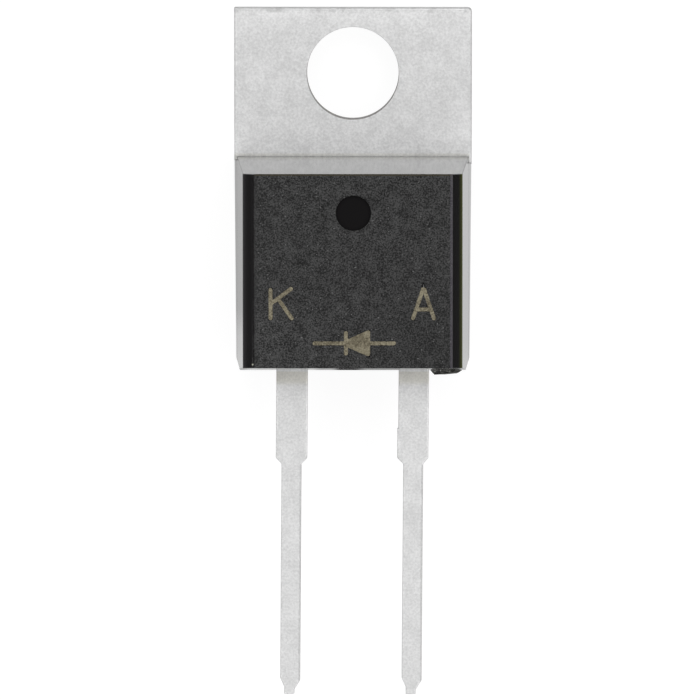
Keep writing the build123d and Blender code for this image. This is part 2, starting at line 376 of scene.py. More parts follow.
def frontColour(tree, coords, spark, x, y, topEdge):
    look = compoundLook
    coarse = noise(tree, coords, look["spark"] * look["coarse"], 1, 0.5)
    mottle = plus(tree, times(tree, spark, look["fineShare"]), times(tree, coarse, 1 - look["fineShare"]))
    drift = times(tree, times(tree, x, -look["drift"]), ramp(tree, y, *look["driftStart"]))
    pale = scaled(tree, look["pale"][:3], plus(tree, drift, 1.0))
    colour = blendColour(tree, ramp(tree, mottle, *look["speckle"]), look["dark"], pale)
    size, low, high = look["glints"]
    glints = ramp(tree, noise(tree, coords, look["spark"] * size, 1, 0.5), low, high)
    colour = blendColour(tree, glints, colour, look["glint"])
    rimEnd = topEdge - look["rimWidth"]
    rim = ramp(tree, y, rimEnd - look["soft"], rimEnd, 0, look["rimShare"])
    colour = blendColour(tree, rim, colour, look["rim"])
    # painted highlight along the right bevel's inner edge
    start, full = (hullSizes["halfFace"] - place for place in look["ridgePlace"])
    return blendColour(tree, ramp(tree, x, start, full, 0, look["ridgeShare"]), colour, look["ridge"])


def bevelColour(tree, x, z):
    look, half = compoundLook, hullSizes["halfBevel"]
    high = ramp(tree, z, *(hullSizes["front"] - drop for drop in look["bevelHeight"]))
    # painted olive sheen along the right bevel's outer edge
    right = ramp(tree, x, half - look["oliveWidth"], half - look["soft"])
    left = ramp(tree, x, look["soft"] - half, look["wornWidth"] - half, 1, 0)
    colour = blendColour(tree, times(tree, right, high), look["smooth"], look["olive"])
    return blendColour(tree, times(tree, left, high), colour, look["worn"])


def topWallPart(tree, x, y, z, topEdge):
    # 1 on the wall above the front, 0 elsewhere
    slope = tan(radians(hullSizes["sideDraft"]))
    lean = times(tree, minus(tree, hullSizes["front"], z), slope)
    across = minus(tree, calc(tree, "ABSOLUTE", x), lean)
    half = hullSizes["halfBevel"]
    inner, outer = compoundLook["wallFade"]
    between = ramp(tree, across, half - inner, half - outer, 1, 0)
    return times(tree, ramp(tree, y, topEdge - outer, topEdge), between)


def makeCompound():
    made, tree, shader, coords = newMaterial("mouldingCompound")
    look = compoundLook
    x, y, z = separate(tree, coords)
    height = hullSizes["front"] - tabThickness
    topEdge = -hullSizes["toTop"] - tan(radians(hullSizes["topDraft"])) * height
    textured = texturedPart(tree, x, z)
    spark = noise(tree, coords, look["spark"], 2, 0.6)
    front = frontColour(tree, coords, spark, x, y, topEdge)
    colour = blendColour(tree, textured, bevelColour(tree, x, z), front)
    speckX, speckY, radius = look["speck"]
    away = addNode(tree, "ShaderNodeVectorMath", {"operation": "DISTANCE"},
                   i0=flatPoint(tree, x, y), i1=(speckX, speckY, 0)).outputs["Value"]
    onSpeck = ramp(tree, away, *(radius * share for share in look["speckSoft"]), 1, 0)
    tree.links.new(blendColour(tree, onSpeck, colour, look["speckColour"]), shader.inputs["Base Color"])
    tree.links.new(ramp(tree, textured, 0, 1, *look["roughness"]), shader.inputs["Roughness"])
    tree.links.new(ramp(tree, textured, 0, 1, *look["shine"]), shader.inputs["Specular IOR Level"])
    gloss = ramp(tree, topWallPart(tree, x, y, z, topEdge), 0, 1, *look["gloss"])
    gloss = times(tree, ramp(tree, textured, 0, 1, 1, 0), gloss)
    tree.links.new(gloss, shader.inputs["Coat Weight"])
    shader.inputs["Coat Roughness"].default_value = look["roughness"][0]
    shader.inputs["IOR"].default_value = 1.55
    addBump(tree, shader, times(tree, spark, textured), look["sparkDepth"], 0.8)
    return made


tin = makeTin()
compound = makeCompound()
print("materials ready")


# Mesh building

mergeGap = 0.001  # points of a new mesh that are nearer than this become one, mm
cutGap = 0.0005  # the same after a cut
overlap = 0.1  # how far blocks reach into each other before they are joined


def roundedLoop(corners, steps=6):
    # corners are (x, y, radius), anticlockwise; the result gives the loop moved inwards by any inset
    def at(inset):
        points = []
        for i, (x, y, radius) in enumerate(corners):
            here = Vector((x, y))
            behind = (here - Vector(corners[i - 1][:2])).normalized()
            ahead = (Vector(corners[(i + 1) % len(corners)][:2]) - here).normalized()
            turn = atan2(behind.x * ahead.y - behind.y * ahead.x, behind.dot(ahead))
            leftBehind, leftAhead = Vector((-behind.y, behind.x)), Vector((-ahead.y, ahead.x))
            mitre = here + (leftBehind + leftAhead) * (inset / (1 + leftBehind.dot(leftAhead)))
            reach = max(radius - inset, 0) if turn > 0 else radius + inset
            arcStart = mitre - behind * reach * tan(abs(turn) / 2)
            centre = arcStart + leftBehind * reach * (1 if turn > 0 else -1)
            for k in range(steps + 1):
                arm = arcStart - centre
                arm.rotate(Matrix.Rotation(turn * k / steps, 2))
                points.append(centre + arm)
        return points
    return at


def roundHole(x, y, radius, share, sides=120):
    # share is how much of the outline's rounding the hole's edge gets
    def at(inset):
        reach = radius + inset * share
        angles = [2 * pi * i / sides for i in range(sides)]
        return [Vector((x + reach * cos(a), y - reach * sin(a))) for a in angles]
    return at


def mergeClose(bm, gap):
    bmesh.ops.remove_doubles(bm, verts=bm.verts, dist=gap)
    bmesh.ops.dissolve_degenerate(bm, edges=bm.edges, dist=gap)


def rolledLevels(low, high, frontRoll, rearRoll, steps=5, support=0.03):
    # heights and insets of a sheet with rounded front and rear edges
    quarter = [pi / 2 * i / steps for i in range(steps + 1)]
    rear = [(low + rearRoll * (1 - cos(a)), rearRoll * (1 - sin(a))) for a in quarter]
    front = [(high - frontRoll * (1 - sin(a)), frontRoll * (1 - cos(a))) for a in quarter]
    return [(low, rearRoll + support)] + rear + front + [(high, frontRoll + support)]


def stampedSheet(loops, levels):
    # the same loops at each level (height, inset), closed at both ends
    bm = bmesh.new()
    for loop in loops:
        rings = [[bm.verts.new((p.x, p.y, height)) for p in loop(inset)] for height, inset in levels]
        for lower, upper in zip(rings, rings[1:]):
            for i in range(len(lower)):
                bm.faces.new((lower[i - 1], lower[i], upper[i], upper[i - 1]))
    mergeClose(bm, mergeGap)
    for height in (levels[0][0], levels[-1][0]):
        rim = [e for e in bm.edges if e.is_boundary and abs(e.verts[0].co.z - height) < 1e-4]
        bmesh.ops.triangle_fill(bm, use_beauty=True, edges=rim)
    return bm


def blockMesh(low, high):
    bm = bmesh.new()
    bmesh.ops.create_cube(bm, size=1)
    for vert in bm.verts:
        vert.co = Vector(b if c > 0 else a for a, b, c in zip(low, high, vert.co))
    return bm


def finishMesh(name, bm, material, sharp=32):
    bmesh.ops.recalc_face_normals(bm, faces=bm.faces)
    bmesh.ops.scale(bm, vec=(mm, mm, mm), verts=bm.verts)
    mesh = bpy.data.meshes.new(name)
    bm.to_mesh(mesh)
    bm.free()
    mesh.polygons.foreach_set("use_smooth", [True] * len(mesh.polygons))
    mesh.set_sharp_from_angle(angle=radians(sharp))
    mesh.materials.append(material)
    piece = bpy.data.objects.new(name, mesh)
    bpy.context.scene.collection.objects.link(piece)
    return piece


def applyModifiers(piece):
    # turns the piece's live result into its own mesh
    bpy.context.view_layer.update()
    evaluated = piece.evaluated_get(bpy.context.evaluated_depsgraph_get())
    mesh = bpy.data.meshes.new_from_object(evaluated)
    piece.modifiers.clear()
    piece.data = mesh


def evenNormals(piece, sharp=25):
    # flat faces become whole and keep flat shading beside small rounded edges
    bm = bmesh.new()
    bm.from_mesh(piece.data)
    bmesh.ops.dissolve_limit(bm, angle_limit=radians(0.2), verts=bm.verts, edges=bm.edges)
    bm.to_mesh(piece.data)
    bm.free()
    piece.data.set_sharp_from_angle(angle=radians(sharp))
    change = piece.modifiers.new("normals", "WEIGHTED_NORMAL")
    change.keep_sharp = True
    applyModifiers(piece)


def combine(piece, operation, others, keep=False):
    for other in others:
        change = piece.modifiers.new("combine", "BOOLEAN")
        change.operation = operation
        change.object = other
        change.solver = "EXACT"
        applyModifiers(piece)
        bm = bmesh.new()
        bm.from_mesh(piece.data)
        mergeClose(bm, cutGap * mm)
        bm.to_mesh(piece.data)
        bm.free()
        if not keep:
            bpy.data.objects.remove(other)


# Metal parts

def leadCorners(side, inner):
    # from the inner end down one edge of the lead, around its tip and back
    s, radii = leadSizes, leadSizes["radii"]
    wide, narrow, nub = s["wide"][0 if side < 0 else 1] / 2, s["narrow"] / 2, s["nub"] / 2
    wideEnd = s["wideLength"]
    neckEnd = wideEnd + s["neck"]
    taperStart = neckEnd + s["narrowLength"]
    nubStart = taperStart + s["taper"]
    tip = nubStart + s["nubLength"]
    lower, aside = s["skew"]
    lean = tan(radians(s["lean"]))
    middle = side * s["x"] + s["shift"]
    foot = -hullSizes["toEnd"]

    def place(along, across, radius):
        return (middle - lean * along + across, foot - along, radius)

    left = [place(wideEnd, -wide, radii["shoulder"]), place(neckEnd, -narrow, radii["neck"]),
            place(taperStart, -narrow, radii["taper"]), place(nubStart, aside - nub, radii["nub"]),
            place(tip, aside - nub, radii["tip"])]
    right = [place(tip, aside + nub, radii["tip"]), place(nubStart + lower, aside + nub, radii["nub"]),
             place(taperStart + lower, narrow, radii["taper"]), place(neckEnd, narrow, radii["neck"]),
             place(wideEnd, wide, radii["shoulder"])]
    root = [(middle - wide, foot, 0)]
    if side > 0:
        proud, length = s["stub"]
        left[0] = place(wideEnd, -wide - proud, 0.03)
        root += [place(wideEnd - length, -wide, 0.01), place(wideEnd - length + 0.03, -wide - proud, 0.02)]
    innerLeft = [(middle - across, y, 0) for across, y in inner(wide)]
    innerRight = [(middle + across, y, 0) for across, y in reversed(inner(wide))]
    return innerLeft + root + left + right + [(middle + wide, foot, 0)] + innerRight


def bendStrip(bm):
    # follows the middle of the strip from the header's level to the lead plane
    start, end = leadSizes["bend"]
    middle = (anodeLow.z + anodeHigh.z) / 2
    drop = anodeHigh.z - tabThickness
    steps = 16
    for i in range(steps + 1):
        geometry = bm.verts[:] + bm.edges[:] + bm.faces[:]
        point = (0, -start - (end - start) * i / steps, 0)
        bmesh.ops.bisect_plane(bm, geom=geometry, plane_co=point, plane_no=(0, 1, 0))
    for vert in bm.verts:
        share = min(max((-vert.co.y - start) / (end - start), 0), 1)
        slope = drop * 6 * share * (1 - share) / (end - start)
        off = vert.co.z - middle
        length = (1 + slope * slope) ** 0.5
        vert.co.y += off * slope / length
        vert.co.z = middle - drop * (1 - share * share * (3 - 2 * share)) + off / length


def makeTab():
    s = tabSizes
    half, top = frameHigh.x, frameHigh.y
    left = s["trim"] - half
    atLeft, atRight = s["shoulder"]
    rightRadius, leftRadius = s["corners"]
    outline = roundedLoop([(left, -atLeft, 0), (half, -atRight, 0),
                           (half, top - s["slant"], rightRadius), (left, top, leftRadius)])
    hole = roundHole(0, 0, holeRadius, s["holeRollShare"])
    sheet = stampedSheet([outline, hole], rolledLevels(0, tabThickness, s["frontRoll"], s["rearRoll"]))
    for vert in sheet.verts:
        if vert.co.y > top - s["frontRoll"] - mergeGap and vert.co.z > tabThickness / 2:
            vert.co.y = top - (top - vert.co.y) * s["topRollShare"]
    return finishMesh("tinnedFrame", sheet, tin)


def makeGroove():
    # a V across the header, under the moulding
    place, width, depth = tabSizes["groove"]
    profile = ((-width * 2, depth), (0, -depth), (width * 2, depth))
    groove = bmesh.new()
    for across in (-5, 5):
        groove.faces.new([groove.verts.new((across, y - place, z + tabThickness)) for y, z in profile])
    bmesh.ops.bridge_loops(groove, edges=groove.edges[:])
    return finishMesh("groove", groove, tin)


def makeFrame():
    s = tabSizes
    tab = makeTab()
    reach, start = s["headerEnd"], 2 * overlap - s["shoulder"][0]
    pad = blockMesh((-s["padHalf"], -reach, 0), (s["padHalf"], start, s["lipHeight"] + overlap))
    header = blockMesh((-s["headerHalf"], -reach, s["lipHeight"]), (s["headerHalf"], start, tabThickness))
    outline = roundedLoop(leadCorners(-1, lambda wide: [(wide, 2 * overlap - reach)]))
    levels = rolledLevels(anodeLow.z, anodeHigh.z, leadSizes["frontRoll"], leadSizes["rearRoll"])
    strip = stampedSheet([outline], levels)
    bendStrip(strip)
    parts = (("pad", pad), ("header", header), ("strip", strip))
    combine(tab, "UNION", [finishMesh(name, bm, tin) for name, bm in parts])
    combine(tab, "DIFFERENCE", [makeGroove()])
    return tab


def makeAnode():
    s = leadSizes
    across, place, length = s["post"]
    post = [(across, -place), (across, -place - length)]
    outline = roundedLoop(leadCorners(1, lambda wide: post + [(wide, -place - length)]))
    holePlace, radius = s["lockHole"]
    lockHole = roundHole(s["x"], -holePlace, radius, 0.5, 32)
    levels = rolledLevels(anodeLow.z, anodeHigh.z, s["frontRoll"], s["rearRoll"])
    return finishMesh("anodeLead", stampedSheet([outline, lockHole], levels), tin)


tinnedFrame = makeFrame()
anodeLead = makeAnode()
print("metal done", len(tinnedFrame.data.polygons), len(anodeLead.data.polygons))


# Moulding

def cutBlock(planes):
    # a solid bounded by planes, each a point and an outward normal
    bm = bmesh.new()
    bmesh.ops.create_cube(bm, size=60)
    for point, normal in planes:
        cut = bmesh.ops.bisect_plane(bm, geom=bm.verts[:] + bm.edges[:] + bm.faces[:],
                                     plane_co=point, plane_no=normal, clear_outer=True, dist=1e-6)
        rim = [e for e in cut["geom_cut"] if isinstance(e, bmesh.types.BMEdge)]
        bmesh.ops.contextual_create(bm, geom=rim)
    return bm


def wallPlanes(extra):
    s = hullSizes
    slope = tan(radians(s["sideDraft"]))
    closing = s["taper"] / (s["toEnd"] - s["facetLength"] - s["toTop"])
    halfEnd = s["halfRear"] - s["taper"]
    planes = []
    for side in (-1, 1):
        half = side * (s["halfRear"] + extra)
        planes.append((Vector((half, 0, 0)), Vector((side, 0, slope))))
        planes.append((Vector((half, -s["toTop"], 0)), Vector((side, -closing, 0))))
        facetStart = Vector((side * (halfEnd + extra), -s["toEnd"] + s["facetLength"], 0))
        planes.append((facetStart, Vector((side * s["facetLength"], -s["facetWidth"], 0))))
    end = Vector((0, -s["toEnd"], anodeLow.z))
    planes.append((end, Vector((0, -1, tan(radians(s["endDraft"]))))))
    planes.append((end, Vector((0, -1, -tan(radians(s["rearDraft"]))))))
    return planes


def makeFrontHalf():
    s = hullSizes
    planes = wallPlanes(0)
    planes.append((Vector((0, 0, s["front"])), Vector((0, 0, 1))))
    planes.append((Vector((0, 0, tabThickness)), Vector((0, 0, -1))))
    planes.append((Vector((0, -s["toTop"], tabThickness)), Vector((0, 1, tan(radians(s["topDraft"]))))))
    for side in (-1, 1):
        bevel = Vector((side * s["bevelDrop"], 0, s["bevelWidth"]))
        planes.append((Vector((side * s["halfFace"], 0, s["front"])), bevel))
    hull = cutBlock(planes)
    rounded = []  # all edges in front of the tab but the top wall's two steep ones
    for edge in hull.edges:
        heights = [vert.co.z for vert in edge.verts]
        steep = abs(heights[0] - heights[1]) > 1
        onTopWall = max(vert.co.y for vert in edge.verts) > -s["toTop"] - 1.5
        if max(heights) > tabThickness + 0.01 and not (steep and onTopWall):
            rounded.append(edge)
    bmesh.ops.bevel(hull, geom=rounded, offset=s["edgeRadius"], segments=3, profile=0.5,
                    affect="EDGES", clamp_overlap=True)
    mergeClose(hull, mergeGap)
    return finishMesh("moulding", hull, compound, 25)


def makeRearHalf():
    s = hullSizes
    planes = wallPlanes(s["partingStep"])
    planes.append((Vector((0, 0, tabThickness)), Vector((0, 0, 1))))
    planes.append((Vector((0, 0, 0)), Vector((0, 0, -1))))
    atLeft, atRight = tabSizes["shoulder"]
    planes.append((Vector((-s["halfRear"], -atLeft, 0)), Vector((atRight - atLeft, 2 * s["halfRear"], 0))))
    return finishMesh("rearHalf", cutBlock(planes), compound, 25)


def makeFlash():
    s = hullSizes
    spread, thickness = s["flash"]
    reach = s["halfRear"] - tan(radians(s["sideDraft"])) * tabThickness + spread
    low = (-reach, -tabSizes["shoulder"][1] - overlap, tabThickness - overlap)
    high = (reach, -s["toTop"] + spread, tabThickness + thickness)
    return finishMesh("flash", blockMesh(low, high), compound, 25)


pinMark = {
    "x": 0.033,
    "y": -5.69,
    "radius": 0.745,
    "depth": 0.12,
    "rim": 0.02,
    "sides": 96,
}


def makePinCutter():
    p = pinMark
    top = hullSizes["front"]
    levels = [(top - p["depth"], p["rim"]), (top - p["rim"], p["rim"]),
              (top + p["rim"], -p["rim"]), (top + 0.5, -p["rim"])]
    angles = [2 * pi * i / p["sides"] for i in range(p["sides"])]
    disc = [(p["x"] + p["radius"] * cos(a), p["y"] + p["radius"] * sin(a), 0) for a in angles]
    return finishMesh("pinCutter", stampedSheet([roundedLoop(disc, 1)], levels), compound)


def makeTree(name, inputs):
    tree = bpy.data.node_groups.new(name, "GeometryNodeTree")
    tree.interface.new_socket("Geometry", in_out="INPUT", socket_type="NodeSocketGeometry")
    tree.interface.new_socket("Geometry", in_out="OUTPUT", socket_type="NodeSocketGeometry")
    for label, kind in inputs.items():
        tree.interface.new_socket(label, in_out="INPUT", socket_type="NodeSocket" + kind)
    return tree, tree.nodes.new("NodeGroupInput").outputs, tree.nodes.new("NodeGroupOutput")


def runTree(piece, tree, values):
    change = piece.modifiers.new(tree.name, "NODES")
    change.node_group = tree
    for item in tree.interface.items_tree:
        if item.in_out == "INPUT" and item.name in values:
            change[item.identifier] = values[item.name]
    applyModifiers(piece)


gate = {
    "x": 3.917,
    "width": 1.364,
    "proud": 0.213,
    "slopes": (0.17, 0.26),
    "tilt": 0.05,  # its right end stands less proud
    "root": 0.06,  # how deep it starts inside the wall
    "rise": 1.93,
    "thickness": 0.5,
    "layers": 4,
    "fineness": 2,
    "roughness": 0.07,
    "grain": 0.16,
    "seed": 5,
    "pale": (0.065, 0.065, 0.057, 1),
    "dark": (0.01, 0.01, 0.009, 1),
    "crumb": (0.8, 0.8, 0.77, 1),  # chips left where it broke off
    "crumbs": (0.07, 0.63, 0.67),  # their size in mm, and the levels between which they show
    "crumbReach": (0.06, 0.04),  # they lie nearer to the wall than this
}


def makeGateTree():
    tree, given, output = makeTree("brokenGate", {
        "Level": "Int", "Depth": "Float", "Grain": "Float", "Seed": "Float"})
    fine = addNode(tree, "GeometryNodeSubdivideMesh", Mesh=given["Geometry"], Level=given["Level"])
    pattern = addNode(tree, "ShaderNodeTexNoise", {"noise_dimensions": "4D"}, W=given["Seed"],
                      Scale=calc(tree, "DIVIDE", 1.0, given["Grain"]), Detail=2.0, Roughness=0.65)
    depth = times(tree, ramp(tree, pattern.outputs["Fac"], 0.3, 0.7, -1.0, 0.0), given["Depth"])
    push = scaled(tree, addNode(tree, "GeometryNodeInputNormal").outputs[0], depth)
    moved = addNode(tree, "GeometryNodeSetPosition", Geometry=fine.outputs[0], Offset=push)
    tree.links.new(moved.outputs[0], output.inputs[0])
    return tree


def makeBrokenResin():
    made, tree, shader, coords = newMaterial("brokenResin")
    y = separate(tree, coords)[1]
    pattern = noise(tree, coords, gate["grain"] * 0.7, 3, 0.6)
    colour = blendColour(tree, ramp(tree, pattern, 0.35, 0.65), gate["dark"], gate["pale"])
    size, low, high = gate["crumbs"]
    crumbs = ramp(tree, noise(tree, coords, size, 1, 0.5), low, high)
    start, full = (-hullSizes["toEnd"] - reach for reach in gate["crumbReach"])
    crumbs = times(tree, crumbs, ramp(tree, y, start, full))
    tree.links.new(blendColour(tree, crumbs, colour, gate["crumb"]), shader.inputs["Base Color"])
    shader.inputs["Roughness"].default_value = 0.35
    addBump(tree, shader, pattern, 0.05, 0.5)
    return made


def makeGate():
    g = gate
    left, right = g["x"] - g["width"] / 2, g["x"] + g["width"] / 2
    edge = -hullSizes["toEnd"]
    plan = [(left, edge + g["root"], 0), (left, edge, 0),
            (left + g["slopes"][0], edge - g["proud"], 0),
            (right - g["slopes"][1], edge - g["proud"] + g["tilt"], 0),
            (right, edge, 0), (right, edge + g["root"], 0)]
    levels = [(g["rise"] + g["thickness"] * i / g["layers"], 0) for i in range(g["layers"] + 1)]
    piece = finishMesh("gateStub", stampedSheet([roundedLoop(plan, 1)], levels), makeBrokenResin())
    runTree(piece, makeGateTree(), {
        "Level": g["fineness"], "Depth": g["roughness"] * mm, "Grain": g["grain"] * mm, "Seed": g["seed"]})
    piece.data.polygons.foreach_set("use_smooth", [False] * len(piece.data.polygons))
    return piece


def makePocket():
    # the room that the laser cut, open at the front
    pocket = nodes["polarity_mark"].copy()
    pocket.data = pocket.data.copy()
    bpy.context.scene.collection.objects.link(pocket)
    for vert in pocket.data.vertices:
        if vert.co.z > (hullSizes["front"] - 0.001) * mm:
            vert.co.z += 0.1 * mm
    return pocket


moulding, rearHalf, flash = makeFrontHalf(), makeRearHalf(), makeFlash()
combine(moulding, "UNION", [flash, rearHalf])
gatePiece = makeGate()
combine(moulding, "DIFFERENCE", [makePinCutter(), makePocket()])
combine(moulding, "DIFFERENCE", [tinnedFrame, anodeLead] + [nodes[n] for n in hiddenNodes], keep=True)
for piece in (tinnedFrame, anodeLead, moulding):
    evenNormals(piece)
print("moulding done", len(moulding.data.polygons))


# Laser marks

marks = {
    "line": 0.17,
    "pitch": 0.05,  # distance between two pulses along a line
    "hatch": 0.07,  # distance between two lines that fill the arrow
    "floor": 0.03,  # depth of the cut
    "below": 0.002,  # the highest dots' tops under the front
    "wander": 0.008,  # how far a dot strays to each side
    "sink": 0.3,  # and downwards, as a share of the cut's depth
    "dotHeight": 0.6,  # a dot's own height, as a share of the cut's depth
    "dotSizes": (0.88, 1.08),
    "symbol": (0.07, -11.09, 3.46),  # centre and length of its line
    "arrow": (0.2, 0.92, 1.17, 0.36),  # offset of its middle, length, height, height of its tip
    "bar": 1.0,  # height of the bar at the arrow's tip
    "letters": (2.94, -9.45, 0.92, 1.35),  # distance from the middle, place, width, height
    "crossbar": 0.33,
    "clear": (0.235, 0.212, 0.15, 1),
    "dim": (0.07, 0.059, 0.039, 1),
    "speckle": 0.07,
    "speckleShare": 0.7,  # the rest varies over seven speckles
    "speckleRange": (0.32, 0.64),
    "arrowShade": 0.15,  # how much dimmer the filled arrow is
    "arrowSoft": (0.06, 0.1, 0.05),  # it dims over this from the tip and ends this far before the base
    "symbolOnly": (-10.3, -10.4),  # above this stand the letters
    "seed": 3,
}


def trimmed(start, end):
    # a stroke whose round ends stay inside its full length
    along = (Vector(end) - Vector(start)).normalized() * marks["line"] / 2
    return [Vector(start) + along, Vector(end) - along]


def symbolStrokes():
    m = marks
    x, y, length = m["symbol"]
    offset, arrow, height, tip = m["arrow"]
    inside = m["line"] / 2
    point = x + offset - arrow / 2
    strokes = [trimmed((x - length / 2, y), (x + length / 2, y)),
               trimmed((point - inside, y - m["bar"] / 2), (point - inside, y + m["bar"] / 2))]
    start, base = point - inside, point + arrow - inside
    rise = (height - tip) / 2 / arrow
    inset = inside * (1 + rise * rise) ** 0.5
    narrow, spread = [tip / 2 + rise * (at - point) - inset for at in (start, base)]
    strokes.append([(start, y + narrow), (base, y + spread), (base, y - spread), (start, y - narrow)])
    row = m["hatch"]
    while row < spread:
        reach = max(start, start + (row - narrow) / rise)
        strokes += [[(reach, y + side * row), (base, y + side * row)] for side in (-1, 1)]
        row += m["hatch"]
    return strokes


def letterStrokes():
    # K above the cathode lead and A above the anode lead
    x, y, width, height = marks["letters"]
    top, foot = y + height / 2, y - height / 2
    stem, arm = -x - width / 2, -x + width / 2
    strokes = [trimmed((stem, foot), (stem, top)), trimmed((stem, y), (arm, top)),
               trimmed((stem + width / 3, y + height / 6), (arm, foot))]
    bar = foot + marks["crossbar"] * height
    half = width / 2 * (1 - marks["crossbar"])
    strokes += [trimmed((x, top), (x + side * width / 2, foot)) for side in (-1, 1)]
    return strokes + [trimmed((x - half, bar), (x + half, bar))]


def makeDotTree():
    tree, given, output = makeTree("laserDots", {
        "Pitch": "Float", "Radius": "Float", "Wander": "Float", "Depth": "Float",
        "Seed": "Int", "Finish": "Material"})
    curve = addNode(tree, "GeometryNodeMeshToCurve", Mesh=given["Geometry"])
    points = addNode(tree, "GeometryNodeResampleCurve", {"mode": "LENGTH"},
                     Curve=curve.outputs[0], Length=given["Pitch"])
    ahead, behind = given["Wander"], times(tree, given["Wander"], -1.0)
    sunk = times(tree, given["Depth"], -marks["sink"])
    low = addNode(tree, "ShaderNodeCombineXYZ", X=behind, Y=behind, Z=sunk)
    high = addNode(tree, "ShaderNodeCombineXYZ", X=ahead, Y=ahead, Z=0.0)
    shake = addNode(tree, "FunctionNodeRandomValue", {"data_type": "FLOAT_VECTOR"},
                    i0=low.outputs[0], i1=high.outputs[0], Seed=given["Seed"])
    moved = addNode(tree, "GeometryNodeSetPosition", Geometry=points.outputs[0], Offset=shake.outputs[0])
    dot = addNode(tree, "GeometryNodeMeshCylinder", Vertices=12, Radius=given["Radius"],
                  Depth=times(tree, given["Depth"], marks["dotHeight"]))
    smallest, largest = marks["dotSizes"]
    size = addNode(tree, "FunctionNodeRandomValue", {"data_type": "FLOAT"},
                   i2=smallest, i3=largest, Seed=plus(tree, given["Seed"], 1.0))
    spread = addNode(tree, "ShaderNodeCombineXYZ", X=size.outputs[1], Y=size.outputs[1], Z=1.0)
    dots = addNode(tree, "GeometryNodeInstanceOnPoints",
                   Points=moved.outputs[0], Instance=dot.outputs[0], Scale=spread.outputs[0])
    real = addNode(tree, "GeometryNodeRealizeInstances", Geometry=dots.outputs[0])
    done = addNode(tree, "GeometryNodeSetMaterial", Geometry=real.outputs[0], Material=given["Finish"])
    tree.links.new(done.outputs[0], output.inputs[0])
    return tree


def makeInk():
    made, tree, shader, coords = newMaterial("laserMark")
    m = marks
    speckle = noise(tree, coords, m["speckle"], 2, 0.7)
    uneven = noise(tree, coords, m["speckle"] * 7, 1, 0.5)
    x, y = separate(tree, coords)[:2]
    offset, arrow = m["arrow"][:2]
    left = m["symbol"][0] + offset - arrow / 2
    right = left + arrow
    soft, start, gone = m["arrowSoft"]
    filled = times(tree, ramp(tree, x, left, left + soft), ramp(tree, x, right - start, right - gone, 1, 0))
    filled = times(tree, filled, ramp(tree, y, *m["symbolOnly"]))
    level = plus(tree, times(tree, speckle, m["speckleShare"]), times(tree, uneven, 1 - m["speckleShare"]))
    colour = blendColour(tree, ramp(tree, level, *m["speckleRange"]), m["dim"], m["clear"])
    colour = blendColour(tree, times(tree, filled, m["arrowShade"]), colour, m["dim"])
    tree.links.new(colour, shader.inputs["Base Color"])
    shader.inputs["Roughness"].default_value = 0.85
    shader.inputs["Specular IOR Level"].default_value = 0.2
    addBump(tree, shader, speckle, 0.01, 0.6)
    return made


def makeMarks(material):
    m = marks
    bm = bmesh.new()
    middle = hullSizes["front"] - m["below"] - m["floor"] * m["dotHeight"] / 2
    for stroke in symbolStrokes() + letterStrokes():
        verts = [bm.verts.new((*point, middle)) for point in stroke]
        for first, second in zip(verts, verts[1:]):
            bm.edges.new((first, second))
    piece = finishMesh("laserMarks", bm, material)
    runTree(piece, makeDotTree(), {
        "Pitch": m["pitch"] * mm, "Radius": m["line"] / 2 * mm, "Wander": m["wander"] * mm,
        "Depth": m["floor"] * mm, "Seed": m["seed"], "Finish": material})
    return piece


laserMarks = makeMarks(makeInk())
print("marks done", len(laserMarks.data.polygons))


# Inner pieces keep their CAD shape

innerLooks = {
    # colour, roughness, and the grain and depth of the pattern in mm
    "silicon": ((0.35, 0.36, 0.4, 1), 0.2, 0.3, 0.001),
    "solder": ((0.55, 0.55, 0.56, 1), 0.45, 0.1, 0.003),
    "aluminiumWire": ((0.85, 0.85, 0.86, 1), 0.25, 0.05, 0.001),
}


def makeInner(name):
    colour, roughness, grain, depth = innerLooks[name]
    made, tree, shader, coords = newMaterial(name)
    pattern = noise(tree, coords, grain, 3, 0.6)
    darker = tuple(0.8 * c for c in colour[:3]) + (1,)
    tree.links.new(blendColour(tree, pattern, darker, colour), shader.inputs["Base Color"])
    shader.inputs["Metallic"].default_value = 1.0
    uneven = ramp(tree, pattern, 0.3, 0.7, roughness * 0.85, roughness * 1.15)
    tree.links.new(uneven, shader.inputs["Roughness"])
    addBump(tree, shader, pattern, depth, 0.5)
    return made


finishes = {
    "silicon_die": makeInner("silicon"),
    "die_solder": makeInner("solder"),
    "bond_wire_1": makeInner("aluminiumWire"),
}
finishes["bond_wire_2"] = finishes["bond_wire_1"]
for name in hiddenNodes:
    nodes[name].data.materials.clear()
    nodes[name].data.materials.append(finishes[name])

replaced = (
    (tinnedFrame, "heat_sink_frame", "tinned_copper"),
    (anodeLead, "anode_lead", "tinned_copper"),
    (moulding, "moulded_body", "moulding_compound"),
    (gatePiece, "moulded_body", "moulding_compound"),
    (laserMarks, "polarity_mark", "laser_mark"),
)
for piece, node, slot in replaced:
    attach(piece, "root")
    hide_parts(node)


# Floor, light and camera

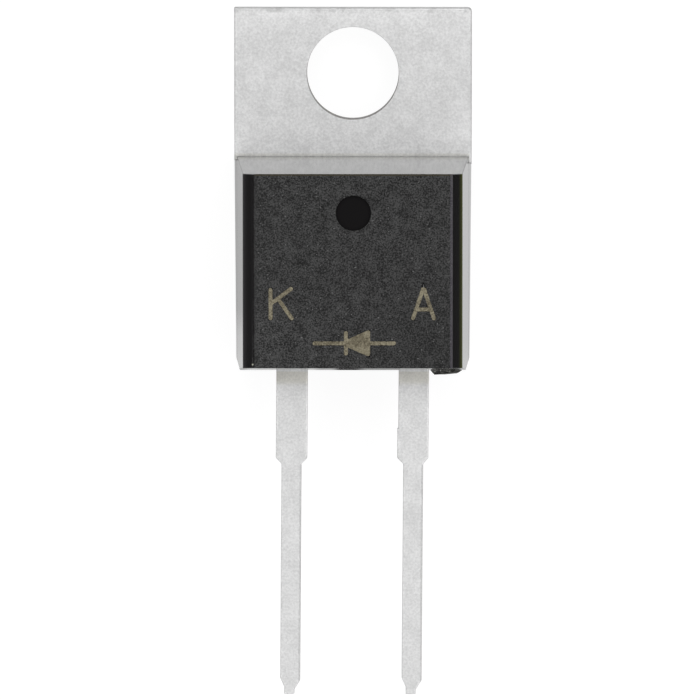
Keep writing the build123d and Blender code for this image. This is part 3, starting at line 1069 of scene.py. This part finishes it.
studio = {
    "ring": 1.7,  # brightness of the bright band of the sky
    "ringHeights": (0.3, 0.55, 0.9, 0.935),  # where it starts, is full, ends and is gone: 1 is overhead
    "zenith": 0.03,
    "horizon": 0.3,
    "rightShare": 0.2,
    "backShare": 0.3,  # towards the tab's free end
    "floorWhite": 0.93,
    "floorSize": 2.0,
    "floorLevel": 1.05,  # as the camera sees it
    "floorShare": (0.86, 0.5),  # how much of it glows by itself, for the camera and for mirrored rays
    "floorGlow": (-5, 5, 0.53, 0.75),  # as mirrored in the left and the right wall: places, levels
    "backGlow": (2.6, 3.6, 1, 0.5),  # the same beyond the tab's free end
    "cornerGlow": (-9.8, -11.3, 0, 0.6),  # added beside the left wall's lower end
    "cornerSide": (1, -1),
    # darker strips as mirrored in the end wall: how dark, then where each one starts and ends in x
    "shades": ((0.5, (-1.75, -1.4), (3.1, 3.3)),
               (0.48, (-0.95, -0.5), (0.05, 0.7)),
               (0.5, (-9, -8), (-4.65, -4.25))),
    "shadeReach": (-12.55, -12.95),  # their near and far ends
    "shadeSoft": 0.15,
}

cameraSetting = {
    "distance": 300,
    "tilt": 4.3,  # degrees from straight above, towards the tab
    "side": 0.2,  # degrees to the right
    "aim": Vector((-0.126, -11.7, 0)),
    "focalPixels": 7128,
    "framePixels": 700,
    "sensor": 36,
}


def endWallShade(tree, x, y):
    shade = 0.0
    for most, rise, fall in studio["shades"]:
        strip = times(tree, ramp(tree, x, *rise, 0, most), ramp(tree, x, *fall, 1, 0))
        shade = plus(tree, strip, shade)
    near, far = studio["shadeReach"]
    soft = studio["shadeSoft"]
    shade = times(tree, shade, ramp(tree, y, far - soft, far))
    return times(tree, shade, ramp(tree, y, near, near + soft, 1, 0))


def makeFloor():
    bm = bmesh.new()
    bmesh.ops.create_grid(bm, x_segments=2, y_segments=2, size=studio["floorSize"] / mm / 2)
    made, tree, shader, coords = newMaterial("paleFloor")
    shader.inputs["Base Color"].default_value = grey(studio["floorWhite"])
    shader.inputs["Roughness"].default_value = 0.9
    shader.inputs["Specular IOR Level"].default_value = 0.1
    path = addNode(tree, "ShaderNodeLightPath").outputs
    seen, mirrored = path["Is Camera Ray"], path["Is Glossy Ray"]
    x, y = separate(tree, coords)[:2]
    glow = times(tree, ramp(tree, x, *studio["floorGlow"]), ramp(tree, y, *studio["backGlow"]))
    corner = times(tree, ramp(tree, y, *studio["cornerGlow"]), ramp(tree, x, *studio["cornerSide"]))
    glow = times(tree, glow, plus(tree, corner, 1.0))
    shade = endWallShade(tree, x, y)
    glow = times(tree, glow, minus(tree, 1.0, shade))
    level = plus(tree, times(tree, seen, studio["floorLevel"]), times(tree, mirrored, glow))
    light = addNode(tree, "ShaderNodeEmission", Color=grey(1), Strength=level)
    seenShare, mirroredShare = studio["floorShare"]
    mirroredShare = plus(tree, times(tree, shade, 1 - mirroredShare), mirroredShare)
    share = plus(tree, times(tree, seen, seenShare), times(tree, mirrored, mirroredShare))
    mixer = addNode(tree, "ShaderNodeMixShader", i0=share, i1=shader.outputs[0], i2=light.outputs[0])
    tree.links.new(mixer.outputs[0], tree.get_output_node("ALL").inputs[0])
    finishMesh("floor", bm, made)


def makeSky():
    world = bpy.data.worlds.new("studio")
    bpy.context.scene.world = world
    world.use_nodes = True
    tree = world.node_tree
    tree.nodes.clear()
    direction = addNode(tree, "ShaderNodeTexCoord").outputs["Generated"]
    x, y, z = addNode(tree, "ShaderNodeSeparateXYZ", Vector=direction).outputs[:]
    start, full, end, gone = studio["ringHeights"]
    low = ramp(tree, z, start, full, studio["horizon"], studio["ring"])
    high = ramp(tree, z, end, gone, 1.0, studio["zenith"] / studio["ring"])
    back = plus(tree, times(tree, y, studio["backShare"]), 1.0)
    side = plus(tree, times(tree, x, studio["rightShare"]), back)
    level = times(tree, times(tree, low, high), side)
    light = addNode(tree, "ShaderNodeBackground", Color=grey(1), Strength=level)
    white = addNode(tree, "ShaderNodeBackground", Color=grey(1), Strength=1.0)
    seen = addNode(tree, "ShaderNodeLightPath").outputs["Is Camera Ray"]
    mixer = addNode(tree, "ShaderNodeMixShader", i0=seen, i1=light.outputs[0], i2=white.outputs[0])
    output = tree.nodes.new("ShaderNodeOutputWorld")
    tree.links.new(mixer.outputs[0], output.inputs[0])


def makeCamera():
    c = cameraSetting
    data = bpy.data.cameras.new("camera")
    data.sensor_width = c["sensor"]
    data.lens = data.sensor_width * c["focalPixels"] / c["framePixels"]
    data.clip_start = 0.01
    camera = bpy.data.objects.new("camera", data)
    bpy.context.scene.collection.objects.link(camera)
    tilt, side = radians(c["tilt"]), radians(c["side"])
    camera.location = (c["aim"] + c["distance"] * Vector((sin(side), sin(tilt), cos(tilt)))) * mm
    camera.rotation_euler = (-tilt, side, 0)
    bpy.context.scene.camera = camera


makeFloor()
makeSky()
makeCamera()
bpy.context.scene.view_settings.view_transform = "Standard"
print("studio ready")
